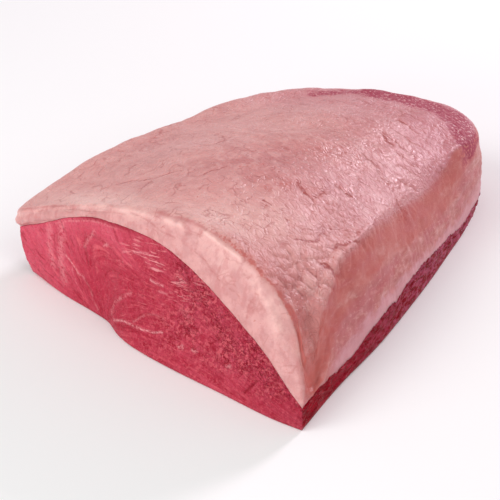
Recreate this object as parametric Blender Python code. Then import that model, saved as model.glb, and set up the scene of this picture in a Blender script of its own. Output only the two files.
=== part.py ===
"""Raw baby picanha: a rump cap trimmed to a wedge, with its fat cap on top.

The piece rests on its flat underside. Its wide cut face looks along -Y, the thick side of
the fat cap lies along +X, and the rounded tip points along +Y. Two solids make it up:
lean_meat, and fat_cap, a layer that runs over the whole lean.

Each solid is a tube of rings closed by caps. A ring goes once round the piece: along the
cut face from left to right, back along the right side, round the tip, and forward along
the left side. The rings are the floor line, the seam between lean and fat, and the ridge
where the fat's trimmed edge meets its top.
"""

import bpy
import numpy as np

MM = 0.001

# Driving dimensions, in millimetres.
CUT_WIDTH = 150.0
LENGTH = 193.0
GAP = 0.35
STEEPEST_LIFT = 1.6
FLOOR_ROUNDING = 1.2

# How finely a ring and the caps are divided.
STEPS_ACROSS = 30
STEPS_ALONG = 30
WALL_STEPS = 5
FILLET_STEPS = 4
RELAXING_PASSES = 120
SLOPE_PASSES = 6

# The outline of the piece seen from above, round the back from the right end of the cut
# face to its left end, as shares of the cut's width and of the length.
OUTLINE_ROUND_BACK = [
    (1.00, 0.00),
    (0.94, 0.155),
    (0.885, 0.325),
    (0.79, 0.55),
    (0.73, 0.68),
    (0.665, 0.82),
    (0.60, 0.925),
    (0.49, 0.985),
    (0.34, 1.00),
    (0.18, 0.96),
    (0.05, 0.88),
    (-0.06, 0.75),
    (-0.11, 0.58),
    (-0.11, 0.40),
    (-0.085, 0.20),
    (-0.055, 0.00),
]

# The shares of that curve's length that the right side and the tip take.
RIGHT_SHARE = 0.41
TIP_SHARE = 0.22

# The point that the ridge and the floor line are set in towards, as the same shares.
MIDDLE = (0.45, 0.45)

# Stations round the piece: 0 to 1 along the cut face, 1 to 2 along the right side,
# 2 to 3 round the tip and 3 to 4 along the left side. Over the cut face the seam and the
# ridge arch up, and an arch's shape is how far it leans to the right and how round it is.
SEAM_HEIGHT_ROUND_BACK = {1.0: 8.6, 1.2: 7.5, 1.4: 9.0, 1.55: 12.0, 1.7: 10.0, 1.9: 7.5, 2.2: 11.0,
                          2.6: 16.5, 3.0: 18.0, 3.5: 19.0, 4.0: 19.5}
SEAM_ARCH = 32.7
SEAM_ARCH_SHAPE = (1.1, 0.9)
RIDGE_HEIGHT_ROUND_BACK = {1.0: 33.5, 1.2: 34.0, 1.5: 35.5, 1.8: 37.5, 2.0: 38.5, 2.25: 39.0,
                           2.5: 38.5, 3.0: 38.0, 3.5: 37.5, 3.8: 35.5, 4.0: 25.5}
RIDGE_ARCH = 24.1
RIDGE_ARCH_SHAPE = (1.2, 0.7)
RIDGE_INSET = {0.0: -1.4, 0.1: 1.4, 0.3: 2.7, 0.5: 3.6, 0.6: 5.5, 0.7: 7.3, 0.8: 9.1, 0.9: 11.8,
               1.0: 17.0, 1.12: 12.7, 1.35: 9.0, 1.6: 8.5, 1.8: 7.0, 2.0: 4.0, 2.25: 3.0, 2.5: 7.0,
               3.0: 8.0, 3.5: 6.5, 3.85: 2.7, 4.0: -1.4}
RIDGE_FILLET = {0.0: 2.7, 0.5: 2.3, 0.9: 3.6, 1.0: 4.5, 1.2: 3.6, 1.8: 4.5, 2.1: 7.0, 2.5: 10.0,
                3.5: 9.0, 3.9: 4.5, 4.0: 2.7}

# How far the top stands above the blend of its four edges, and the low swells that make it
# uneven: their height, their length, and each one's share of it along X and Y and its start.
TOP_CROWN = 3.6
SWELL_HEIGHT = 0.4
SWELL_LENGTH = 60.0
SWELLS = [(1.0, 0.6, 0.0), (-0.5, 1.7, 1.0), (1.3, -1.0, 2.0)]

# How the wall of lean leans in below the seam on the left and at the tip, and how far the
# foot of the cut face stands forward of the seam.
TUCK_LEFT = 6.4
TUCK_TIP = 8.0
CUT_FOOT_FORWARD = {0.0: 0.5, 0.15: 0.9, 0.33: 1.6, 0.4: 4.5, 0.48: 6.2, 0.6: 5.6, 0.75: 4.2,
                    0.92: 2.5, 1.0: 0.0}

LEAN_RED = (0.42, 0.03, 0.06)
FAT_PINK = (0.72, 0.4, 0.37)


def along(stations, at):
    """A smooth curve through the stations' values: a cubic with averaged slopes."""
    place = np.array(sorted(stations))
    value = np.array([stations[key] for key in sorted(stations)])
    chord = np.diff(value) / np.diff(place)
    slope = np.concatenate([chord[:1], (chord[:-1] + chord[1:]) / 2, chord[-1:]])
    slope[1:-1][chord[:-1] * chord[1:] < 0] = 0
    left = np.clip(np.searchsorted(place, at, side="right") - 1, 0, len(chord) - 1)
    width = place[left + 1] - place[left]
    t = (at - place[left]) / width
    return (value[left] * (1 + 2 * t) * (1 - t) ** 2 + value[left + 1] * t * t * (3 - 2 * t)
            + slope[left] * width * t * (1 - t) ** 2 - slope[left + 1] * width * t * t * (1 - t))


def smooth_line(points, shares):
    """Points at these shares of the length of a Catmull-Rom curve through the given ones."""
    fine_steps = 40
    p = np.array(points, float)
    p = np.vstack([2 * p[0] - p[1], p, 2 * p[-1] - p[-2]])
    t = np.linspace(0, 1, fine_steps, endpoint=False)[:, None]
    spans = [
        0.5 * (2 * b + (c - a) * t + (2 * a - 5 * b + 4 * c - d) * t**2 + (3 * b - a - 3 * c + d) * t**3)
        for a, b, c, d in zip(p, p[1:], p[2:], p[3:])
    ]
    line = np.vstack([*spans, p[-2:-1]])
    gone = np.concatenate([[0], np.cumsum(np.linalg.norm(np.diff(line, axis=0), axis=1))])
    gone /= gone[-1]
    return np.stack([np.interp(shares, gone, line[:, axis]) for axis in (0, 1)], axis=1)


def stations_round():
    """The station of each point of a ring."""
    across = np.arange(STEPS_ACROSS) / STEPS_ACROSS
    back = np.arange(STEPS_ALONG) / STEPS_ALONG
    return np.concatenate([across, 1 + back, 2 + across, 3 + back])


def outline():
    """The seam's outline seen from above: the straight cut, then the curve round the back."""
    at = stations_round()
    corners = np.array(OUTLINE_ROUND_BACK) * (CUT_WIDTH, LENGTH)
    cut = corners[-1] + at[at < 1, None] * (corners[0] - corners[-1])
    shares = np.interp(at[at >= 1], (1, 2, 3, 4), (0, RIGHT_SHARE, RIGHT_SHARE + TIP_SHARE, 1))
    return np.vstack([cut, smooth_line(corners, shares)])


def towards_middle(plan):
    """The direction, seen from above, from each point of an outline to the piece's middle."""
    inward = np.array(MIDDLE) * (CUT_WIDTH, LENGTH) - plan
    return inward / np.linalg.norm(inward, axis=1, keepdims=True)


def floor_line(plan, at):
    """The outline at floor level, from the seam's."""
    x, y = plan.T
    forward = np.where(at < 1, along(CUT_FOOT_FORWARD, np.clip(at, 0, 1)), 0)
    inset_left = TUCK_LEFT * (1 - x / CUT_WIDTH) ** 3
    inset_tip = TUCK_TIP * (y / LENGTH) ** 4
    return np.column_stack([x + inset_left, y - inset_tip - forward])


def arched(at, round_back, arch, shape):
    """A height round the piece: an arch over the cut face, and the given values behind it."""
    lean_to_right, roundness = shape
    height = along(round_back, np.clip(at, 1, 4))
    u = at[at < 1]
    ends = round_back[4.0] + (round_back[1.0] - round_back[4.0]) * u
    height[at < 1] = ends + arch * np.sin(np.pi * u**lean_to_right) ** roundness
    return height


def ring(plan, height):
    return np.column_stack([plan, height])


def main_rings():
    """The floor line, the seam and the ridge, and how wide the ridge is rounded."""
    at = stations_round()
    plan = outline()
    floor = ring(floor_line(plan, at), 0 * at)
    seam = ring(plan, arched(at, SEAM_HEIGHT_ROUND_BACK, SEAM_ARCH, SEAM_ARCH_SHAPE))
    ridge = ring(plan + towards_middle(plan) * along(RIDGE_INSET, at)[:, None],
                 arched(at, RIDGE_HEIGHT_ROUND_BACK, RIDGE_ARCH, RIDGE_ARCH_SHAPE))
    return floor, seam, ridge, along(RIDGE_FILLET, at)


def between(start, end, steps):
    """Rings evenly spaced from start to end, both included."""
    share = np.linspace(0, 1, steps + 1)[:, None, None]
    return start + (end - start) * share


def fillet(start, corner, end, steps):
    """Rings along a quadratic curve that rounds a corner, both ends included."""
    t = np.linspace(0, 1, steps + 1)[:, None, None]
    return start * (1 - t) ** 2 + corner * 2 * t * (1 - t) + end * t**2


def sides_of(a_ring):
    """The cut, right, tip and left sides of a ring, corners included, left to right or front to back."""
    closed = np.vstack([a_ring, a_ring[:1]])
    cut = closed[: STEPS_ACROSS + 1]
    right = closed[STEPS_ACROSS : STEPS_ACROSS + STEPS_ALONG + 1]
    tip = closed[STEPS_ACROSS + STEPS_ALONG : 2 * STEPS_ACROSS + STEPS_ALONG + 1][::-1]
    left = closed[2 * STEPS_ACROSS + STEPS_ALONG :][::-1]
    return cut, right, tip, left


def patch(a_ring):
    """A grid that fills a ring: a Coons patch, evened out in plan so that no face folds over."""
    cut, right, tip, left = sides_of(a_ring)
    u = np.linspace(0, 1, STEPS_ACROSS + 1)[:, None, None]
    v = np.linspace(0, 1, STEPS_ALONG + 1)[None, :, None]
    across = (1 - u) * left[None] + u * right[None]
    back = (1 - v) * cut[:, None] + v * tip[:, None]
    corners = (1 - u) * ((1 - v) * cut[0] + v * tip[0]) + u * ((1 - v) * cut[-1] + v * tip[-1])
    grid = across + back - corners
    plan = grid[..., :2]
    for _ in range(RELAXING_PASSES):
        plan[1:-1, 1:-1] = (plan[:-2, 1:-1] + plan[2:, 1:-1] + plan[1:-1, :-2] + plan[1:-1, 2:]) / 4
    return grid


def crowned(a_ring):
    """The fat's top inside a ring: its patch, raised in the middle and uneven with low swells."""
    grid = patch(a_ring)
    u = np.linspace(0, 1, STEPS_ACROSS + 1)[:, None]
    v = np.linspace(0, 1, STEPS_ALONG + 1)[None, :]
    inside = 16 * u * (1 - u) * v * (1 - v)
    x, y = np.moveaxis(grid[..., :2], 2, 0) * 2 * np.pi / SWELL_LENGTH
    swell = sum(np.sin(along_x * x + along_y * y + start) for along_x, along_y, start in SWELLS)
    grid[..., 2] += TOP_CROWN * inside + SWELL_HEIGHT * swell * np.sqrt(inside)
    return grid


def lifted(grid, distance):
    """The grid moved up until it is this far from itself, measured square to its surface."""
    along_u, along_v = np.gradient(grid, axis=(0, 1))
    normal = np.cross(along_u, along_v)
    steepness = np.linalg.norm(normal, axis=2) / normal[..., 2]
    raised = grid.copy()
    raised[..., 2] += distance * np.minimum(steepness, STEEPEST_LIFT)
    return raised


def border(grid):
    """The ring round a grid."""
    return np.vstack([grid[:-1, 0], grid[-1, :-1], grid[:0:-1, -1], grid[0, :0:-1]])


def cap(grid, ring_start, inner_start, faces_up):
    """The faces of a grid whose border is a ring's points and whose inner points are its own."""
    across, back = grid.shape[0] - 1, grid.shape[1] - 1
    round_it = ring_start + np.arange(2 * (across + back))
    index = np.zeros(grid.shape[:2], int)
    index[1:-1, 1:-1] = inner_start + np.arange((across - 1) * (back - 1)).reshape(across - 1, back - 1)
    cut, right, tip, left = np.split(round_it, np.cumsum([across, back, across]))
    index[:-1, 0] = cut
    index[-1, :-1] = right
    index[:0:-1, -1] = tip
    index[0, :0:-1] = left
    quads = np.stack([index[:-1, :-1], index[1:, :-1], index[1:, 1:], index[:-1, 1:]], axis=2).reshape(-1, 4)
    return (quads if faces_up else quads[:, ::-1]).tolist()


def solid(name, bottom, rings, top, colour, roughness):
    """One closed object: a grid or a flat face below, the rings round it, and a grid on top."""
    count = rings.shape[1]
    first = np.arange(count)
    following = np.roll(first, -1)
    levels = np.arange(len(rings) - 1)[:, None, None] * count
    walls = levels + np.column_stack([first, following, following + count, first + count])
    points = [rings.reshape(-1, 3), top[1:-1, 1:-1].reshape(-1, 3)]
    faces = walls.reshape(-1, 4).tolist()
    faces += cap(top, (len(rings) - 1) * count, rings.shape[0] * count, True)
    if bottom is None:
        faces.append(first[::-1].tolist())
    else:
        faces += cap(bottom, 0, sum(len(group) for group in points), False)
        points.append(bottom[1:-1, 1:-1].reshape(-1, 3))
    mesh = bpy.data.meshes.new(name)
    mesh.from_pydata((MM * np.concatenate(points)).tolist(), [], faces)
    mesh.shade_smooth()
    mesh.set_sharp_from_angle(angle=np.radians(40))
    mesh.materials.append(moist(name, colour, roughness))
    made = bpy.data.objects.new(name, mesh)
    bpy.context.scene.collection.objects.link(made)
    return made


def moist(name, colour, roughness):
    """A plain material of this colour."""
    material = bpy.data.materials.new(name)
    material.use_nodes = True
    finish = material.node_tree.nodes["Principled BSDF"]
    finish.inputs["Base Color"].default_value = (*colour, 1)
    finish.inputs["Roughness"].default_value = roughness
    finish.inputs["Metallic"].default_value = 0.0
    return material


def make_lean_meat(floor, seam):
    """The lean: its underside is flat, and its top is the surface that the fat lies on."""
    inward = np.column_stack([towards_middle(floor[:, :2]), floor[:, 2]])
    up_wall = (seam - floor) / np.linalg.norm(seam - floor, axis=1, keepdims=True)
    rings = np.concatenate([
        fillet(floor + inward * FLOOR_ROUNDING, floor, floor + up_wall * FLOOR_ROUNDING, FILLET_STEPS),
        between(floor + up_wall * FLOOR_ROUNDING, seam, WALL_STEPS)[1:],
    ])
    return solid("lean_meat", None, rings, patch(seam), LEAN_RED, 0.4)


def make_fat_cap(seam, ridge, rounding):
    """The fat: it lies on the lean, its trimmed edge rises from the seam to the ridge."""
    underside = lifted(patch(seam), GAP)
    edge = border(underside)
    down_wall = (edge - ridge) / np.linalg.norm(edge - ridge, axis=1, keepdims=True)
    inward = np.column_stack([towards_middle(ridge[:, :2]), 0 * rounding])
    start = ridge + down_wall * rounding[:, None]
    end = ridge + inward * rounding[:, None]
    end[:, 2] += rounding * inward_slope(crowned(ridge))
    rings = np.concatenate([between(edge, start, WALL_STEPS), fillet(start, ridge, end, FILLET_STEPS)[1:]])
    return solid("fat_cap", underside, rings, crowned(end), FAT_PINK, 0.45)


def inward_slope(grid):
    """How fast a grid rises just inside its border for each unit moved inward, evened out along it."""
    ring_in = border(grid[1:-1, 1:-1])
    edge = border(grid)
    nearest = np.linalg.norm(edge[:, None, :2] - ring_in[None, :, :2], axis=2).argmin(axis=1)
    step = ring_in[nearest] - edge
    slope = step[:, 2] / np.linalg.norm(step[:, :2], axis=1)
    for _ in range(SLOPE_PASSES):
        slope = (np.roll(slope, 1) + slope + np.roll(slope, -1)) / 3
    return slope


def centre_on_floor(objects):
    """Puts the origin under the middle of the piece's box, at floor level."""
    corners = np.array([vertex.co for made in objects for vertex in made.data.vertices])
    low, high = corners.min(axis=0), corners.max(axis=0)
    shift = np.array([(low[0] + high[0]) / 2, (low[1] + high[1]) / 2, low[2]])
    for made in objects:
        for vertex in made.data.vertices:
            vertex.co = [value - offset for value, offset in zip(vertex.co, shift)]


def main():
    for old in list(bpy.data.objects):
        bpy.data.objects.remove(old)
    floor, seam, ridge, rounding = main_rings()
    centre_on_floor([make_lean_meat(floor, seam), make_fat_cap(seam, ridge, rounding)])


main()
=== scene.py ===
"""Raw baby picanha: the looks of a small raw rump cap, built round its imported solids.

The lean and the fat are closed surfaces worked out with numpy: a tube of rings round the
piece, closed by a top and an underside. Each surface is then pushed in and out along its
own normals by sums of noise, and carries soft masks that its material reads.
"""

import math
from itertools import product

import bpy
import numpy as np
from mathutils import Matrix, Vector


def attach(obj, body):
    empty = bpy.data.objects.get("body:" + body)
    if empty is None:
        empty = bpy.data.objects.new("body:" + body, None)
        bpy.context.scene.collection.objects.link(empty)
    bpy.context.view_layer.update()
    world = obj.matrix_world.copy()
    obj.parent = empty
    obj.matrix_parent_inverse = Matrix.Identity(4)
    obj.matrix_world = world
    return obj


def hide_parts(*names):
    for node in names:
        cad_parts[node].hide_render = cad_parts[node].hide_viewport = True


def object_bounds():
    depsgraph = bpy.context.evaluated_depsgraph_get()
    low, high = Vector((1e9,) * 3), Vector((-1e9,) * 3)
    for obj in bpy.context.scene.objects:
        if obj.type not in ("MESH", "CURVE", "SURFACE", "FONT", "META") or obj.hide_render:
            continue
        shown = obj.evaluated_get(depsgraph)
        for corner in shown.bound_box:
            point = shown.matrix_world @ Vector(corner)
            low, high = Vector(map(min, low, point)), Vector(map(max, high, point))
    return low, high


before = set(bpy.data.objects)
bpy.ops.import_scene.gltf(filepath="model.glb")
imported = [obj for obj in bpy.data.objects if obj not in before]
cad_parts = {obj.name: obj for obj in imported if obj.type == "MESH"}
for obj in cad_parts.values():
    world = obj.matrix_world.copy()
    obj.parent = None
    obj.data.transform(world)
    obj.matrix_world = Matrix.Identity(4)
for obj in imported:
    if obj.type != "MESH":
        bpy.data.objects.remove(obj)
CAD_LOW, CAD_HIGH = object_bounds()

bl_info = {
    "name": "Raw baby picanha",
    "version": (1, 0, 0),
    "blender": (4, 5, 0),
    "location": "3D View > Sidebar > Picanha",
    "description": "A raw baby picanha with a wet fat cap and a fibrous cut face",
    "category": "Add Mesh",
}

MM = 0.001

# The solids' own dimensions, in millimetres. Stations go round the piece: 0 to 1 along the
# cut face, 1 to 2 along the right side, 2 to 3 round the tip and 3 to 4 along the left side.
CUT_WIDTH = 150.0
LENGTH = 193.0
FLOOR_ROUNDING = 1.2
OUTLINE_ROUND_BACK = [
    (1.00, 0.00), (0.94, 0.155), (0.885, 0.325), (0.79, 0.55), (0.73, 0.68), (0.665, 0.82), (0.60, 0.925),
    (0.49, 0.985), (0.34, 1.00), (0.18, 0.96), (0.05, 0.88), (-0.06, 0.75), (-0.11, 0.58), (-0.11, 0.40),
    (-0.085, 0.20), (-0.055, 0.00),
]
RIGHT_SHARE = 0.41
TIP_SHARE = 0.22
MIDDLE = (0.45, 0.45)
SEAM_HEIGHT_ROUND_BACK = {1.0: 8.6, 1.2: 7.5, 1.4: 9.0, 1.55: 12.0, 1.7: 10.0, 1.9: 7.5, 2.2: 11.0,
                          2.6: 16.5, 3.0: 18.0, 3.5: 19.0, 4.0: 19.5}
SEAM_ARCH = 32.7
SEAM_ARCH_SHAPE = (1.1, 0.9)
RIDGE_HEIGHT_ROUND_BACK = {1.0: 33.5, 1.2: 34.0, 1.5: 35.5, 1.8: 37.5, 2.0: 38.5, 2.25: 39.0,
                           2.5: 38.5, 3.0: 38.0, 3.5: 37.5, 3.8: 35.5, 4.0: 25.5}
RIDGE_ARCH = 24.1
RIDGE_ARCH_SHAPE = (1.2, 0.7)
RIDGE_INSET = {0.0: -1.4, 0.1: 1.4, 0.3: 2.7, 0.5: 3.6, 0.6: 5.5, 0.7: 7.3, 0.8: 9.1, 0.9: 11.8,
               1.0: 17.0, 1.12: 12.7, 1.35: 9.0, 1.6: 8.5, 1.8: 7.0, 2.0: 4.0, 2.25: 3.0, 2.5: 7.0,
               3.0: 8.0, 3.5: 6.5, 3.85: 2.7, 4.0: -1.4}
RIDGE_FILLET = {0.0: 2.7, 0.5: 2.3, 0.9: 3.6, 1.0: 4.5, 1.2: 3.6, 1.8: 4.5, 2.1: 7.0, 2.5: 10.0,
                3.5: 9.0, 3.9: 4.5, 4.0: 2.7}
SWELL_HEIGHT = 0.4
SWELL_LENGTH = 60.0
SWELLS = [(1.0, 0.6, 0.0), (-0.5, 1.7, 1.0), (1.3, -1.0, 2.0)]
TUCK_LEFT = 6.4
TUCK_TIP = 8.0
CUT_FOOT_FORWARD = {0.0: 1.0, 0.15: 2.1, 0.33: 2.9, 0.4: 5.0, 0.48: 6.2, 0.6: 5.6, 0.75: 4.2,
                    0.92: 2.5, 1.0: 0.0}
SEAM_GAP = 0.2

# How far the skin's ridge drops below the solid's own ridge, and moves out from it. At the cut's
# right corner the skin runs down in a tongue, and further back it wraps over the right side.
RIDGE_DROP = {0.0: -1.2, 0.08: -0.8, 0.25: 0.0, 0.9: 0.0, 0.93: 1.5, 0.955: 3.6, 0.976: 5.5, 0.991: 9.0,
              1.0: 14.5, 1.03: 20.0, 1.05: 20.3, 1.065: 17.8, 1.085: 14.0, 1.11: 9.4, 1.14: 5.0,
              1.17: 1.5, 1.2: -0.5, 1.25: -1.4, 1.33: -0.8, 1.41: 0.7, 1.5: 4.7, 1.59: 6.7, 1.65: 8.5,
              1.72: 9.7, 1.77: 9.6, 1.8: 8.7, 1.84: 5.6, 1.87: 2.2, 1.92: 0.8, 2.05: 0.9, 2.25: 0.9,
              2.5: 0.6, 2.8: -0.4, 3.05: -1.4, 3.25: -1.3, 3.45: 0.2, 3.6: 0.2, 3.8: -0.6, 3.95: -1.2,
              4.0: -1.2}
RIDGE_OUT = {0.0: 1.2, 0.05: 0.6, 0.15: 0.0, 0.9: 0.0, 0.93: 0.9, 0.955: 2.3, 0.976: 3.8, 0.991: 6.0,
             1.0: 10.0, 1.03: 12.5, 1.05: 12.3, 1.065: 10.4, 1.085: 7.6, 1.11: 4.8, 1.14: 2.5,
             1.17: 0.8, 1.2: -0.2, 1.25: -0.4, 1.33: -0.3, 1.41: 0.3, 1.5: 1.8, 1.59: 2.4, 1.65: 2.8,
             1.72: 2.7, 1.77: 2.4, 1.8: 2.1, 1.84: 1.2, 1.87: 0.4, 1.92: 0.0, 3.6: 0.0, 3.9: 1.0,
             4.0: 1.2}
FADING_LENGTH = 14.0

# How far the lean's foot spreads beyond the solid's.
FOOT_OUT = {0.0: 0.0, 0.3: 0.0, 0.35: -0.3, 0.38: 0.2, 0.42: 1.3, 0.9: 1.4, 1.0: 1.4, 1.1: 1.0,
            2.0: 1.0, 2.4: 0.3, 4.0: 0.0}

# How far the seam between the fat and the lean dips below the solids' own.
SEAM_DROP = {0.0: 0.0, 0.1: 0.6, 0.2: -0.2, 0.29: -0.5, 0.33: -0.2, 0.37: 0.4, 0.42: 0.9, 0.55: 0.7,
             0.65: 1.3, 0.74: 1.7, 0.81: 1.7, 0.87: 1.0, 0.9: 0.8, 0.96: 1.6, 1.0: 0.0, 1.03: -0.6,
             1.08: -1.4, 1.12: -0.2, 1.2: 0.6, 1.25: -0.5, 1.29: -2.4, 1.34: -3.3, 1.385: -3.3,
             1.435: -1.8, 1.49: -1.6, 1.55: -1.2, 1.61: -0.4, 1.67: 0.4, 1.74: 0.9, 1.81: 1.8, 1.9: 1.0,
             2.0: 0.0, 4.0: 0.0}

# How many steps each surface has: along the cut, right, tip and left, then up its wall.
LEAN_STEPS = (420, 260, 120, 200)
LEAN_LEVELS = 78
FOOT_LEVELS = 3
FAT_STEPS = (212, 256, 212, 256)
FAT_LEVELS = 25
RIDGE_LEVELS = 16
RELAXING_PASSES = 150
FADING_PASSES = 300
SLOPE_PASSES = 50

# A hidden patch is rings that have shrunk by these shares, then one point.
CAP_SHARES = (0.04, 0.15, 0.35, 0.6, 0.85)

# How often the wall's last ring, the ridge and the top's first ring are evened out at the corners
# of the cut, and how far round the piece that reaches, in stations.
CORNER_PASSES = {1: (6, 8, 10), 0: (30, 40, 40)}
CORNER_REACH = 0.06

# The lean's foot: how many millimetres more it is rounded at the cut's left corner, over how many
# stations, and the share of the wall's height that it takes up in the masks.
CORNER_ROUNDING = 2.5
CORNER_ROUNDING_REACH = 0.08
FOOT_RISE = 0.02

# The fat: the share of its height at which the ridge's curve begins, the longest share of the wall
# that the curve may take, and the distance from the ridge that stands for anything hidden.
WALL_RISE = 0.9
LONGEST_ROUNDING = 0.32
HIDDEN_DISTANCE = -30.0

# The grain of the cut face springs from this point (across, up), bends within this radius and has
# this many millimetres across for each radian round the point.
NOTCH = (49.0, -5.0)
BEND_RADIUS = 50.0
GRAIN_SPREAD = 34.0

# Pale threads and painted glints on the cut face: points (across, up) in millimetres, then a half width and a
# strength.
THREADS_AND_GLINTS = [
    ([(55.5, 5.2), (59.4, 7.0), (62.7, 8.5), (68.6, 9.2), (75.5, 10.1), (80.0, 11.1), (84.3, 13.0)],
     0.34, 1.0),
    ([(54.4, 5.4), (52.3, 7.7), (55.4, 12.8), (60.7, 17.6), (65.3, 21.1)], 0.7, 0.4),
    ([(68.4, 10.6), (73.3, 15.2), (78.2, 17.8), (83.8, 18.1)], 0.4, 0.35),
    ([(22.9, 19.1), (26.0, 17.4), (28.6, 15.7), (31.8, 13.7)], 0.35, 0.75),
    ([(26.2, 17.2), (26.6, 13.2), (29.8, 8.7)], 0.3, 0.3),
    ([(32.5, 14.5), (37.5, 10.9), (39.9, 6.1), (42.4, 2.9)], 0.5, 0.35),
    ([(75.1, 30.4), (78.5, 30.2), (82.1, 30.6)], 0.4, 0.8),
    ([(79.9, 27.8), (84.6, 28.2)], 0.35, 0.55),
    ([(58.7, 35.3), (66.2, 38.0), (72.6, 39.8)], 0.35, 0.6),
    ([(34.6, 27.8), (36.3, 30.6), (40.5, 36.1)], 0.8, 0.35),
    ([(46.6, 32.3), (48.4, 34.1)], 0.7, 0.5),
    ([(93.1, 10.7), (94.7, 11.1)], 0.8, 0.8),
    ([(99.6, 11.7), (101.5, 12.1)], 0.6, 0.7),
    ([(116.3, 11.9), (117.9, 12.6)], 0.7, 0.6),
    ([(12.2, 27.9), (12.6, 21.0), (14.3, 11.4)], 1.8, 0.32),
    ([(20.1, 31.1), (19.8, 24.8), (19.5, 15.4), (21.7, 8.0)], 2.2, 0.36),
]

# Dark clefts on the cut face, in the same form.
CLEFTS = [
    ([(125.4, 5.2), (127.8, 8.2), (129.9, 11.7)], 0.45, 0.9),
    ([(56.2, 4.0), (60.5, 5.4), (65.8, 7.0), (72.1, 7.7)], 0.5, 0.5),
    ([(69.2, 12.8), (74.2, 16.6), (81.6, 17.7), (85.8, 16.0)], 0.6, 0.45),
    ([(28.4, 14.4), (31.3, 9.8), (34.0, 5.2)], 0.5, 0.45),
    ([(35.2, 12.6), (40.2, 8.1), (45.0, 3.7)], 0.45, 0.45),
    ([(15.1, 24.6), (16.4, 17.4), (18.3, 9.6)], 0.6, 0.3),
    ([(107.3, 17.1), (110.6, 20.0), (111.1, 23.9)], 0.4, 0.5),
    ([(133.2, 10.2), (137.2, 13.1), (138.2, 16.2)], 0.4, 0.5),
]

# Fine veins on the fat's cut face and cream rolled strips along its ridge, lightened as painted highlight, in
# the same form, but seen along the camera's line of sight, which these two slopes carry on to the cut's
# plane.
SIGHT_ACROSS = 1.003
SIGHT_UP = 0.818
VEINS = [
    ([(14.0, 36.5), (23.0, 39.9), (31.4, 42.7)], 1.1, 0.45),
    ([(6.0, 32.0), (15.5, 37.1), (23.0, 39.4), (31.4, 42.2), (38.5, 44.0)], 0.4, 0.5),
    ([(38.5, 44.3), (45.5, 46.5), (53.4, 49.3), (59.2, 50.7)], 0.4, 0.35),
    ([(62.1, 52.5), (69.5, 53.3), (79.4, 51.3), (86.1, 51.5)], 0.45, 0.7),
    ([(91.9, 55.8), (98.0, 57.5), (102.3, 60.9)], 0.5, 0.6),
    ([(97.0, 50.0), (102.5, 48.2), (106.3, 45.0), (109.6, 43.4)], 0.4, 0.8),
    ([(114.6, 42.1), (118.0, 42.1), (119.6, 40.8)], 0.4, 0.7),
    ([(128.2, 50.8), (127.0, 44.3), (123.7, 38.2), (122.9, 33.7)], 0.4, 0.6),
    ([(98.0, 57.2), (97.9, 53.1), (97.0, 50.7)], 0.35, 0.4),
    ([(121.3, 50.6), (125.3, 51.0), (127.8, 50.0)], 0.5, 0.6),
]
HIGHLIT_ROLLS = [
    ([(101.5, 59.9), (108.2, 58.5), (114.8, 57.5), (119.7, 56.6)], 1.2, 1.0),
    ([(81.4, 56.8), (89.4, 57.9)], 1.6, 0.8),
    ([(30.0, 45.5), (45.0, 49.5), (60.0, 53.0), (73.3, 55.4)], 2.0, 0.7),
    ([(128.0, 49.5), (133.5, 45.0), (138.0, 36.0)], 3.0, 0.7),
]
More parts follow.
